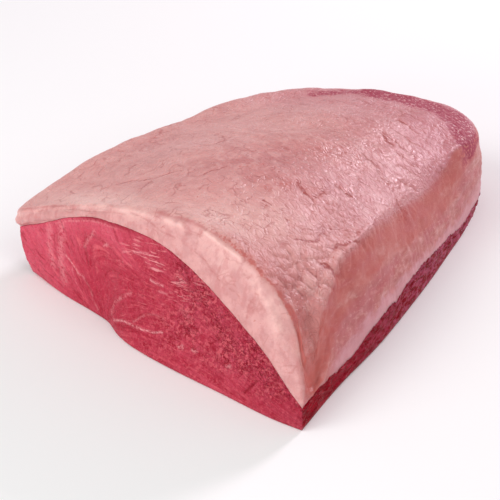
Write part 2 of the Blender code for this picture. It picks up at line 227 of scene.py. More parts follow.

# Seen from above, in the same form: where the thin fat round the tip shows the dark lean, creases in the skin
# that are darkened as painted shade, duller streaks and small blood-red spots.
DEEP_BAND = [
    ([(35, 168), (48, 172), (63, 175), (77, 173), (87, 169)], 7.5, 1.0),
    ([(84, 168), (92, 164), (96, 160)], 7.2, 1.0),
    ([(16, 150), (24, 160), (35, 168)], 5.0, 0.6),
]
SHADED_CREASES = [
    ([(84.3, 105.3), (88.5, 104.6), (92.1, 104.1), (95.2, 101.2)], 1.3, 1.0),
    ([(95.1, 88.1), (99.5, 90.2)], 1.1, 0.9),
    ([(73.2, 126.4), (80.5, 125.4), (83.6, 124.4)], 1.2, 1.0),
    ([(105.9, 100.1), (110.7, 97.7)], 1.1, 0.9),
    ([(100.4, 109.6), (104.2, 114.8)], 1.1, 0.8),
    ([(97.9, 73.4), (102.6, 75.8), (103.8, 77.0)], 1.2, 1.0),
    ([(89.5, 59.8), (98.3, 56.9), (100.2, 56.8)], 1.2, 1.0),
    ([(91.8, 39.5), (96.3, 39.3)], 1.1, 0.9),
    ([(103.4, 38.6), (107.1, 36.9)], 1.1, 0.9),
    ([(99.0, 59.0), (98.7, 64.9), (100.4, 64.9)], 1.1, 1.0),
    ([(97.1, 101.1), (101.5, 101.1)], 1.1, 0.9),
    ([(71.8, 129.0), (82.4, 127.5), (91.4, 127.6)], 1.1, 0.9),
    ([(70.6, 135.9), (80.8, 135.8), (87.6, 136.4)], 1.1, 0.9),
    ([(86.1, 121.0), (92.7, 121.8), (96.6, 124.8)], 1.1, 0.8),
    ([(94.1, 117.0), (98.9, 121.0)], 1.1, 0.8),
    ([(66.9, 145.8), (79.9, 145.7)], 1.1, 0.9),
    ([(28.0, 22.0), (35.1, 25.5), (44.8, 29.2), (51.2, 36.5)], 1.1, 0.8),
    ([(48.7, 14.6), (43.6, 26.0), (48.3, 23.6)], 1.1, 0.8),
    ([(38.4, 56.5), (42.4, 61.9), (42.5, 68.3)], 1.1, 0.8),
    ([(-0.2, 46.8), (3.2, 50.4)], 1.1, 0.8),
    ([(2.1, 62.5), (3.9, 68.3)], 1.1, 0.8),
    ([(6.8, 15.1), (12.2, 12.6)], 1.1, 0.9),
    ([(7.0, 21.9), (14.2, 21.3)], 1.1, 0.8),
    ([(61.7, 37.3), (63.4, 48.0)], 1.1, 0.8),
    ([(113.0, 33.0), (116.8, 41.0), (113.4, 50.0)], 1.2, 0.9),
    ([(120.4, 43.8), (123.3, 51.6), (123.8, 61.0)], 1.2, 1.0),
    ([(127.9, 15.0), (130.8, 17.2), (131.5, 24.2)], 1.3, 0.6),
    ([(124.8, 36.4), (130.3, 37.3), (128.3, 46.3)], 1.3, 1.0),
    ([(111.6, 38.5), (112.1, 50.0), (115.9, 58.4), (121.8, 66.0)], 1.3, 0.8),
    ([(122.3, 11.9), (126.0, 17.0), (127.8, 17.7)], 1.3, 0.6),
]
DULL_STREAKS = [
    ([(49.5, 124.5), (62.9, 124.4), (70.2, 128.7)], 3.0, 0.9),
    ([(67.5, 128.6), (63.9, 149.4), (62.5, 164.7)], 3.5, 0.9),
    ([(30.0, 92.1), (33.0, 98.9), (29.3, 116.0)], 3.0, 0.7),
    ([(116.0, 20.0), (112.0, 34.0), (116.0, 52.0)], 5.0, 0.8),
]
RED_SPOTS = [
    ([(89.5, 58.0), (88.5, 52.0)], 1.6, 0.7),
    ([(87.8, 47.5), (86.0, 46.0)], 1.5, 0.6),
    ([(68.9, 51.2), (73.2, 58.3)], 1.5, 0.6),
    ([(97.4, 74.9), (98.5, 76.0)], 1.5, 0.6),
    ([(95.0, 65.0), (97.0, 62.0)], 1.5, 0.5),
]

# How many times wider than the solid's the ridge is rounded over the cut face.
SOFT_RIDGE = {0.0: 1.3, 0.15: 1.6, 0.5: 2.2, 0.8: 2.0, 0.9: 1.4, 0.95: 1.0, 1.1: 1.0, 1.3: 1.3, 1.8: 1.3,
              2.0: 1.0, 4.0: 1.3}

# The camera that the photograph's outline fits: where it aims, in metres, and its turn.
AIM = Vector((0.0104, -0.0460, 0.0182))
CAMERA_AZIMUTH = 45.1
CAMERA_ELEVATION = 30.0
CAMERA_DISTANCE = 0.5909
CAMERA_LENS = 108.5
CAMERA_RISE = 0.024

# The stage, in metres and watts: each soft light's name, place, width, power and colour, then half
# the floor's width, and the strength of the white surroundings.
LIGHTS = [
    ("key_light", (-0.35, -0.8, 0.75), 0.6, 4.7, (1.0, 1.0, 1.0)),
    ("low_light", (0.2, -1.15, 0.3), 0.3, 3.4, (1.0, 1.0, 1.0)),
    ("sheen_light", (-0.13, 1.04, 0.56), 0.2, 7.4, (1.0, 0.85, 0.94)),
    ("right_light", (0.95, -0.15, 0.85), 0.8, 3.4, (1.0, 1.0, 1.0)),
]
FLOOR_HALF = 3.0
SURROUNDINGS = 0.42


def length_property(name, description, default):
    """A length in metres that a user may change."""
    return bpy.props.FloatProperty(name=name, description=description, default=default, unit="LENGTH")


class PicanhaShape(bpy.types.PropertyGroup):
    """Sizes of the relief on the fat and the lean."""

    crown: length_property("Crown", "How far the top of the fat bulges", 0.0036)
    lobe_depth: length_property("Lobe depth", "Depth of the folds between the lobes of the fat", 0.0007)
    wrinkle_depth: length_property("Wrinkle depth", "Depth of the wrinkles on the fat's skin", 0.00035)
    trim_depth: length_property("Trim depth", "Unevenness of the fat's knife-trimmed edge", 0.0005)
    grain_depth: length_property("Grain depth", "Depth of the muscle grain on the cut face", 0.0004)
    fibre_depth: length_property("Fibre depth", "Depth of the fibres on the lean's sides", 0.0006)


def colour_property(name, description, default):
    """A colour that a user may change."""
    return bpy.props.FloatVectorProperty(
        name=name, description=description, subtype="COLOR", size=3, min=0.0, max=1.0, default=default)


class PicanhaColours(bpy.types.PropertyGroup):
    """Colours of the fat and the lean, as linear light."""

    fat_pink: colour_property("Fat pink", "The fat's outer skin", (0.68, 0.285, 0.275))
    fat_pale: colour_property("Fat pale", "Paler patches of the skin", (0.78, 0.405, 0.385))
    fat_dusk: colour_property("Fat dusk", "Duller patches of the skin", (0.55, 0.185, 0.185))
    fat_mauve: colour_property("Fat mauve", "The skin's cooler tint towards the tip", (0.59, 0.215, 0.26))
    fat_lilac: colour_property("Fat lilac", "The pale strip along the right foot", (0.66, 0.29, 0.33))
    # The cream patches' own colour, and also painted highlight along the rolled strips on the cut's ridge.
    fat_cream_and_highlight: colour_property("Fat cream", "Cream patches and the rolled edge", (0.88, 0.53, 0.49))
    fat_cut: colour_property("Fat cut", "The fat's cut face", (0.61, 0.277, 0.27))
    fat_side: colour_property("Fat side", "The fat's trimmed right side", (0.50, 0.12, 0.13))
    fat_tan: colour_property("Fat tan", "Paler parts of the right side", (0.51, 0.145, 0.134))
    fat_rind: colour_property("Fat rind", "The dried brownish edge of the ridge", (0.52, 0.10, 0.082))
    fat_vein: colour_property("Fat vein", "Fine veins", (0.42, 0.085, 0.08))
    fat_deep: colour_property("Fat deep", "Where thin fat shows the lean", (0.37, 0.035, 0.075))
    lean_rose: colour_property("Lean rose", "The lean's lighter parts", (0.62, 0.084, 0.134))
    lean_red: colour_property("Lean red", "The lean's main colour", (0.45, 0.031, 0.061))
    lean_deep: colour_property("Lean deep", "The lean's cracks and its sides", (0.24, 0.002, 0.01))
    lean_crimson: colour_property("Lean crimson", "The lean's right side", (0.34, 0.002, 0.014))
    # A mauve tint further back on the lean's side, standing in for the sheen of reflected light.
    lean_mauve_sheen: colour_property("Lean mauve", "The older, duller lean further back", (0.44, 0.09, 0.165))
    # Partly the paler fibre streaks' own colour, partly painted glints: bright facets, specks and strokes
    # that stand in for wet highlights.
    lean_pale_and_glint: colour_property("Lean light", "Bright facets of the grain", (0.78, 0.145, 0.175))
    # The pale threads' own colour, and also the colour of painted glints on the cut face.
    sinew_and_glint: colour_property("Sinew", "Pale threads in the lean", (0.85, 0.36, 0.38))
    floor: colour_property("Floor", "The pale floor", (0.95, 0.95, 0.95))


# Noise, as whole arrays


def scatter(cell, seed):
    """A number from 0 to 1 for each whole-number cell: its coordinates, mixed by large odd factors."""
    mask = np.uint64(0xFFFFFFFF)
    place = cell.astype(np.int64).astype(np.uint64) & mask
    mixed = place[..., 0] * np.uint64(374761393) + place[..., 1] * np.uint64(668265263)
    mixed = mixed + place[..., 2] * np.uint64(2246822519) + np.uint64(seed * 97 + 13) * np.uint64(3266489917)
    mixed &= mask
    for shift in (15, 13, 16):
        mixed ^= mixed >> np.uint64(shift)
        mixed = (mixed * np.uint64(2246822507)) & mask
    return mixed / float(0xFFFFFFFF)


def soft_noise(place, seed):
    """Gradient noise from about -1 to 1, with one bump or hollow for each unit of place."""
    cell = np.floor(place)
    within = place - cell
    fade = within**3 * (within * (within * 6 - 15) + 10)
    total = np.zeros(len(place))
    for corner in product((0, 1), repeat=3):
        slope = np.stack([scatter(cell + corner, seed * 3 + axis) for axis in range(3)], axis=1) * 2 - 1
        share = np.prod(np.where(corner, fade, 1 - fade), axis=1)
        total += share * np.sum(slope * (within - corner), axis=1)
    return total * 1.7


def layered(place, seed, layers=3):
    """Noise on noise: each layer is half the size and half the height of the one before."""
    return sum(soft_noise(place * 2.0**layer, seed + layer) / 2.0**layer for layer in range(layers))


def creases(place, seed, layers=2):
    """Lines from 0 to 1: high where a layered noise crosses zero, low elsewhere."""
    return np.clip(1 - np.abs(layered(place, seed, layers)) * 2.2, 0, 1) ** 2


def cells(place, seed):
    """For points scattered one to a unit: how far the nearest is, and how much further the next."""
    cell = np.floor(place)
    nearest = np.full(len(place), 9.0)
    second = np.full(len(place), 9.0)
    for step in product((-1, 0, 1), repeat=3):
        there = cell + step
        seat = np.stack([scatter(there, seed * 5 + axis) for axis in range(3)], axis=1)
        away = np.linalg.norm(there + seat - place, axis=1)
        second = np.minimum(second, np.maximum(nearest, away))
        nearest = np.minimum(nearest, away)
    return nearest, second - nearest


def ease(value, low, high):
    """0 below low, 1 above high, and a smooth step between."""
    t = np.clip((value - low) / (high - low), 0, 1)
    return t * t * (3 - 2 * t)


def window(value, rise_from, rise_to, fall_from, fall_to):
    """A smooth step up to 1, then a smooth step down again."""
    return ease(value, rise_from, rise_to) * ease(-value, -fall_to, -fall_from)


def bell(value):
    """1 at zero, falling like a bell to about a third at 1."""
    return np.exp(-(value**2))


def unit(arrows):
    """The arrows with a length of 1."""
    return arrows / np.linalg.norm(arrows, axis=1, keepdims=True)


def near_lines(x, z, lines):
    """How close each point is to any of the lines: 1 on it, falling like a bell with its half width."""
    total = np.zeros_like(x)
    for corners, half, strength in lines:
        away = np.full_like(x, 99.0)
        for (x0, z0), (x1, z1) in zip(corners, corners[1:]):
            run_x, run_z = x1 - x0, z1 - z0
            t = np.clip(((x - x0) * run_x + (z - z0) * run_z) / (run_x**2 + run_z**2), 0, 1)
            away = np.minimum(away, np.hypot(x - x0 - t * run_x, z - z0 - t * run_z))
        total = np.maximum(total, strength * bell(away / half))
    return total


def blob(x, y, centre, radii):
    """1 at the centre, falling like a bell with these radii."""
    return np.exp(-(((x - centre[0]) / radii[0]) ** 2) - ((y - centre[1]) / radii[1]) ** 2)


# The solids' shape, at any fineness


def along(stations, at):
    """A smooth curve through the stations' values: a cubic with averaged slopes."""
    place = np.array(sorted(stations))
    value = np.array([stations[key] for key in sorted(stations)])
    chord = np.diff(value) / np.diff(place)
    slope = np.concatenate([chord[:1], (chord[:-1] + chord[1:]) / 2, chord[-1:]])
    slope[1:-1][chord[:-1] * chord[1:] < 0] = 0
    left = np.clip(np.searchsorted(place, at, side="right") - 1, 0, len(chord) - 1)
    width = place[left + 1] - place[left]
    t = (at - place[left]) / width
    return (value[left] * (1 + 2 * t) * (1 - t) ** 2 + value[left + 1] * t * t * (3 - 2 * t)
            + slope[left] * width * t * (1 - t) ** 2 - slope[left + 1] * width * t * t * (1 - t))


def smooth_line(points, shares):
    """Points at these shares of the length of a Catmull-Rom curve through the given ones."""
    fine_steps = 40
    p = np.array(points, float)
    p = np.vstack([2 * p[0] - p[1], p, 2 * p[-1] - p[-2]])
    t = np.linspace(0, 1, fine_steps, endpoint=False)[:, None]
    spans = [
        0.5 * (2 * b + (c - a) * t + (2 * a - 5 * b + 4 * c - d) * t**2 + (3 * b - a - 3 * c + d) * t**3)
        for a, b, c, d in zip(p, p[1:], p[2:], p[3:])
    ]
    line = np.vstack([*spans, p[-2:-1]])
    gone = np.concatenate([[0], np.cumsum(np.linalg.norm(np.diff(line, axis=0), axis=1))])
    gone /= gone[-1]
    return np.stack([np.interp(shares, gone, line[:, axis]) for axis in (0, 1)], axis=1)


def stations_round(steps):
    """The station of each point of a ring, for these numbers of steps along its four sides."""
    return np.concatenate([side + np.arange(count) / count for side, count in enumerate(steps)])


def outline(at):
    """The seam's outline seen from above: the straight cut, then the curve round the back."""
    corners = np.array(OUTLINE_ROUND_BACK) * (CUT_WIDTH, LENGTH)
    cut = corners[-1] + at[at < 1, None] * (corners[0] - corners[-1])
    shares = np.interp(at[at >= 1], (1, 2, 3, 4), (0, RIGHT_SHARE, RIGHT_SHARE + TIP_SHARE, 1))
    return np.vstack([cut, smooth_line(corners, shares)])


def towards_middle(plan):
    """The direction, seen from above, from each point of an outline to the piece's middle."""
    return unit(np.array(MIDDLE) * (CUT_WIDTH, LENGTH) - plan)


def floor_line(plan, at):
    """The outline at floor level, from the seam's."""
    x, y = plan.T
    forward = np.where(at < 1, along(CUT_FOOT_FORWARD, np.clip(at, 0, 1)), 0)
    inset_left = TUCK_LEFT * (1 - x / CUT_WIDTH) ** 3
    inset_tip = TUCK_TIP * (y / LENGTH) ** 4
    return np.column_stack([x + inset_left, y - inset_tip - forward])


def arched(at, round_back, arch, shape):
    """A height round the piece: an arch over the cut face, and the given values behind it."""
    lean_to_right, roundness = shape
    height = along(round_back, np.clip(at, 1, 4))
    u = at[at < 1]
    ends = round_back[4.0] + (round_back[1.0] - round_back[4.0]) * u
    height[at < 1] = ends + arch * np.sin(np.pi * u**lean_to_right) ** roundness
    return height


def main_rings(steps):
    """Stations, the floor line, the seam, the ridge, and how wide the ridge is rounded."""
    at = stations_round(steps)
    plan = outline(at)
    floor = np.column_stack([floor_line(plan, at), 0 * at])
    seam = np.column_stack([plan, arched(at, SEAM_HEIGHT_ROUND_BACK, SEAM_ARCH, SEAM_ARCH_SHAPE)])
    ridge = np.column_stack([plan + towards_middle(plan) * along(RIDGE_INSET, at)[:, None],
                             arched(at, RIDGE_HEIGHT_ROUND_BACK, RIDGE_ARCH, RIDGE_ARCH_SHAPE)])
    return at, floor, seam, ridge, along(RIDGE_FILLET, at)


def ragged(at, seam):
    """The seam, moved down by its drop, then shifted by up to about a millimetre, most on the right."""
    place = np.column_stack([seam[:, :2] / 2.2, 0 * at])
    right = window(at, 1.0, 1.05, 2.2, 2.6)
    made = seam.copy()
    made[:, 2] -= along(SEAM_DROP, at)
    made[:, 2] += (0.12 + 0.75 * right) * layered(place, 5, 3)
    made[:, 2] += (0.35 + 0.9 * right) * soft_noise(place / 4, 8)
    return made


def softened(ring, at, corner, passes):
    """The ring with the corner at this station evened out: an average of neighbours, again and again."""
    away = np.abs(at - corner)
    share = bell(np.minimum(away, 4 - away) / CORNER_REACH)[:, None]
    made = ring.copy()
    for _ in range(passes):
        even = (np.roll(made, 1, axis=0) + made + np.roll(made, -1, axis=0)) / 3
        made = made + (even - made) * share
    return made


def sides_of(ring, steps):
    """The cut, right, tip and left sides of a ring, corners included, left to right or front to back."""
    closed = np.vstack([ring, ring[:1]])
    first, second, third, fourth = np.cumsum(steps)
    return (closed[: first + 1], closed[first : second + 1], closed[second : third + 1][::-1],
            closed[third : fourth + 1][::-1])


def coons(ring, steps, u, v):
    """Points that fill a ring: the sum of its two blends across and along, less the corners' own."""
    cut, right, tip, left = sides_of(ring, steps)

    def on(side, share):
        where = np.linspace(0, 1, len(side))
        return np.stack([np.interp(share, where, side[:, axis]) for axis in range(3)], axis=-1)

    u1, v1 = u[..., None], v[..., None]
    across = (1 - u1) * on(left, v) + u1 * on(right, v)
    back = (1 - v1) * on(cut, u) + v1 * on(tip, u)
    corners = (1 - u1) * ((1 - v1) * cut[0] + v1 * tip[0]) + u1 * ((1 - v1) * cut[-1] + v1 * tip[-1])
    return across + back - corners


def hidden_cap(ring, steps):
    """Rings that shrink to one point over the patch that fills a ring."""
    quarter = [np.arange(count) / count for count in steps]
    u = np.concatenate([quarter[0], 0 * quarter[1] + 1, 1 - quarter[2], 0 * quarter[3]])
    v = np.concatenate([0 * quarter[0], quarter[1], 0 * quarter[2] + 1, 1 - quarter[3]])
    rings = [coons(ring, steps, 0.5 + (u - 0.5) * (1 - s), 0.5 + (v - 0.5) * (1 - s))
             for s in CAP_SHARES]
    return np.array(rings), coons(ring, steps, np.array([0.5]), np.array([0.5]))


def crowned(ring, steps, crown):
    """The fat's top inside a ring: a patch evened out in plan, raised in the middle, with low swells."""
    across, back = steps[0], steps[1]
    u, v = np.meshgrid(np.linspace(0, 1, across + 1), np.linspace(0, 1, back + 1), indexing="ij")
    grid = coons(ring, steps, u, v)
    relax(grid[..., :2], RELAXING_PASSES)
    inside = 16 * u * (1 - u) * v * (1 - v)
    x, y = np.moveaxis(grid[..., :2], 2, 0) * 2 * np.pi / SWELL_LENGTH
    swell = sum(np.sin(along_x * x + along_y * y + start) for along_x, along_y, start in SWELLS)
    grid[..., 2] += crown * inside + SWELL_HEIGHT * swell * np.sqrt(inside)
    return grid


def relax(grid, passes):
    """Moves a grid's inner points, in place, to the middle of their neighbours, again and again."""
    for _ in range(passes):
        grid[1:-1, 1:-1] = (grid[:-2, 1:-1] + grid[2:, 1:-1] + grid[1:-1, :-2] + grid[1:-1, 2:]) / 4


def drawn_to(grid, ring, steps):
    """The grid with its border moved to a ring: the move fades evenly from the border inward."""
    cut, right, tip, left = sides_of(ring, steps)
    move = np.zeros_like(grid)
    move[:, 0] = cut - grid[:, 0]
    move[-1, :] = right - grid[-1, :]
    move[:, -1] = tip - grid[:, -1]
    move[0, :] = left - grid[0, :]
    relax(move, FADING_PASSES)
    return grid + move


def border(grid):
    """The ring round a grid."""
    return np.vstack([grid[:-1, 0], grid[-1, :-1], grid[:0:-1, -1], grid[0, :0:-1]])


def inward_slope(grid):
    """How fast a grid rises just inside its border for each unit moved inward, evened out along it."""
    depth = 4
    u_steps, v_steps = grid.shape[0] - 1, grid.shape[1] - 1
    index = np.stack(np.meshgrid(np.arange(u_steps + 1), np.arange(v_steps + 1), indexing="ij"), axis=2)
    edge = border(index)
    inner = np.clip(edge, depth, (u_steps - depth, v_steps - depth))
    step = grid[inner[:, 0], inner[:, 1]] - border(grid)
    slope = step[:, 2] / np.linalg.norm(step[:, :2], axis=1)
    for _ in range(SLOPE_PASSES):
        slope = (np.roll(slope, 1) + slope + np.roll(slope, -1)) / 3
    return slope


def nearest_gap(points, ring, every=6, parts=60):
    """How far each point is, seen from above, from the nearest of every few points of a ring."""
    coarse = ring[::every, :2]
    return np.concatenate([np.linalg.norm(some[:, None, :2] - coarse, axis=2).min(axis=1)
                           for some in np.array_split(points, parts)])


def between(start, end, steps):
    """Rings evenly spaced from start to end, both included."""
    share = np.linspace(0, 1, steps + 1)[:, None, None]
    return start + (end - start) * share


def fillet(start, corner, end, steps):
    """Rings along a quadratic curve that rounds a corner, both ends included."""
    t = np.linspace(0, 1, steps + 1)[:, None, None]
    return start * (1 - t) ** 2 + corner * 2 * t * (1 - t) + end * t**2


# Meshes


def ring_quads(levels, count):
    """The four-sided faces between rings of points that follow each other level by level."""
    first = np.arange(count)
    following = np.roll(first, -1)
    lower = np.arange(levels - 1)[:, None, None] * count
    return (lower + np.column_stack([first, following, following + count, first + count])).reshape(-1, 4)


def fan(ring_start, count, tip, faces_up):
    """Three-sided faces from a ring to one point."""
    first = ring_start + np.arange(count)
    following = np.roll(first, -1)
    faces = np.column_stack([first, following, np.full(count, tip)])
    return faces if faces_up else faces[:, ::-1]


def grid_quads(steps, ring_start, inner_start):
    """The faces of a grid whose border is a ring's points and whose inner points are its own."""
    across, back = steps[0], steps[1]
    ring = ring_start + np.arange(sum(steps))
    index = np.zeros((across + 1, back + 1), int)
    index[1:-1, 1:-1] = inner_start + np.arange((across - 1) * (back - 1)).reshape(across - 1, back - 1)
    cut, right, tip, left = np.split(ring, np.cumsum(steps)[:-1])
    index[:-1, 0] = cut
    index[-1, :-1] = right
    index[:0:-1, -1] = tip
    index[0, :0:-1] = left
    return np.stack([index[:-1, :-1], index[1:, :-1], index[1:, 1:], index[:-1, 1:]], axis=2).reshape(-1, 4)


def point_normals(points, groups):
    """Each point's normal: the sum of those of the faces round it."""
    total = np.zeros_like(points)
    for faces in groups:
        corner = points[faces]
        arrows = ((0, 2), (1, 3)) if faces.shape[1] == 4 else ((0, 1), (0, 2))
        flat = np.cross(*(corner[:, end] - corner[:, start] for start, end in arrows))
        for axis in range(3):
            weight = np.repeat(flat[:, axis], faces.shape[1])
            total[:, axis] += np.bincount(faces.ravel(), weight, minlength=len(points))
    return total / np.maximum(np.linalg.norm(total, axis=1, keepdims=True), 1e-12)


def make_piece(name, points, groups, masks, material, body, replaced):
    """One closed object from points in millimetres, faces, masks for its material, and what it rides on."""
    mesh = bpy.data.meshes.new(name)
    mesh.from_pydata((points * MM).tolist(), [], [face for faces in groups for face in faces.tolist()])
    mesh.shade_smooth()
    for key, values in masks.items():
        layer = mesh.attributes.new(key, "FLOAT", "POINT")
        layer.data.foreach_set("value", np.ascontiguousarray(values, np.float32))
    mesh.materials.append(material)
    made = bpy.data.objects.new(name, mesh)
    bpy.context.scene.collection.objects.link(made)
    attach(made, body)
    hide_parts(replaced)


def place_in_frame(points):
    """The points moved from the cut face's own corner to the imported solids' frame, still in millimetres."""
    _, floor, seam, _, _ = main_rings(LEAN_STEPS)
    low = np.vstack([floor, seam]).min(axis=0)
    return points + (CAD_LOW.x / MM - low[0], CAD_LOW.y / MM - low[1], 0.0)


# Materials


class Value:
    """A shader socket that Python's operators work on: each adds a Math node."""

    def __init__(self, finish, socket):
        self.finish = finish
        self.socket = socket

    def math(self, operation, first, second):
        """The result of a Math node on two Values or numbers."""
        return self.finish.node("ShaderNodeMath", {"operation": operation}, {0: first, 1: second})

    def __add__(self, other):
        return self.math("ADD", self, other)

    def __sub__(self, other):
        return self.math("SUBTRACT", self, other)

    def __rsub__(self, other):
        return self.math("SUBTRACT", other, self)

    def __mul__(self, other):
        return self.math("MULTIPLY", self, other)

    __radd__ = __add__
    __rmul__ = __mul__

    def ease(self, low, high):
        """0 below low, 1 above high, and a smooth step between; low may be above high."""
        return self.finish.node("ShaderNodeMapRange", {"interpolation_type": "SMOOTHSTEP"}, {
            "Value": self, "From Min": low, "From Max": high})


class Finish:
    """A material being put together."""

    def __init__(self, name):
        self.material = bpy.data.materials.new(name)
        self.material.use_nodes = True
        self.tree = self.material.node_tree
        self.shader = self.tree.nodes["Principled BSDF"]

    def feed(self, socket, value):
        """Links a Value to a socket, or sets the socket to a number or a colour."""
        if isinstance(value, Value):
            self.tree.links.new(value.socket, socket)
        elif socket.type == "RGBA":
            socket.default_value = (*value[:3], 1.0)
        else:
            socket.default_value = value

    def node(self, kind, settings, sockets, take=0):
        """A node of this kind, with its settings made first and then its sockets fed."""
        made = self.tree.nodes.new(kind)
        for key, value in settings.items():
            setattr(made, key, value)
        for key, value in sockets.items():
            self.feed(made.inputs[key], value)
        return Value(self, made.outputs[take])

    def mask(self, name):
        """One of the piece's own masks."""
        return self.node("ShaderNodeAttribute", {"attribute_name": name}, {}, "Fac")

    def place(self, longer=(1.0, 1.0, 1.0), turn=(0.0, 0.0, 0.0)):
        """The point on the object, for a pattern drawn out this many times along its turned axes."""
        where = self.node("ShaderNodeTexCoord", {}, {}, "Object")
        return self.node("ShaderNodeMapping", {"vector_type": "TEXTURE"}, {
            "Vector": where, "Scale": longer, "Rotation": turn})

    def noise(self, where, size, detail=3.0, rough=0.5):
        """Cloudy noise from 0 to 1 with bumps of this size in millimetres."""
        return self.node("ShaderNodeTexNoise", {}, {
            "Vector": where, "Scale": 1 / (size * MM), "Detail": detail, "Roughness": rough})

    def edges(self, where, size):
        """How far a point is from the edges between scattered cells of this size in millimetres."""
        return self.node("ShaderNodeTexVoronoi", {"feature": "DISTANCE_TO_EDGE"}, {
            "Vector": where, "Scale": 1 / (size * MM)}, "Distance")

    def blend(self, share, first, second):
        """A colour from first to second."""
        return self.node("ShaderNodeMix", {"data_type": "RGBA"}, {0: share, 6: first, 7: second}, 2)

    def coats(self, colour, *layers):
        """A colour with others laid over it in turn, each with its share."""
        for share, over in layers:
            colour = self.blend(share, colour, over)
        return colour

    def wander(self, where, size, distance):
        """The place, shifted by soft noise of this size by up to this distance, both in millimetres."""
        step = self.node("ShaderNodeTexNoise", {}, {
            "Vector": where, "Scale": 1 / (size * MM), "Detail": 1.0}, 1)
        for operation, key, value in (
                ("SUBTRACT", 1, (0.5, 0.5, 0.5)), ("SCALE", "Scale", distance * MM * 2), ("ADD", 1, where)):
            step = self.node("ShaderNodeVectorMath", {"operation": operation}, {0: step, key: value})
        return step

    def bumps(self, *layers):
        """A normal that follows heights laid on each other, each with its depth in millimetres."""
        normal = {}
        for height, depth in layers:
            normal = {"Normal": self.node("ShaderNodeBump", {}, {
                "Height": height, "Distance": depth * MM, "Strength": 1.0, **normal})}
        return normal["Normal"]

    def done(self, **sockets):
        """Feeds the Principled shader's sockets and returns the material."""
        for key, value in sockets.items():
            self.feed(self.shader.inputs[key.replace("_", " ")], value)
        return self.material


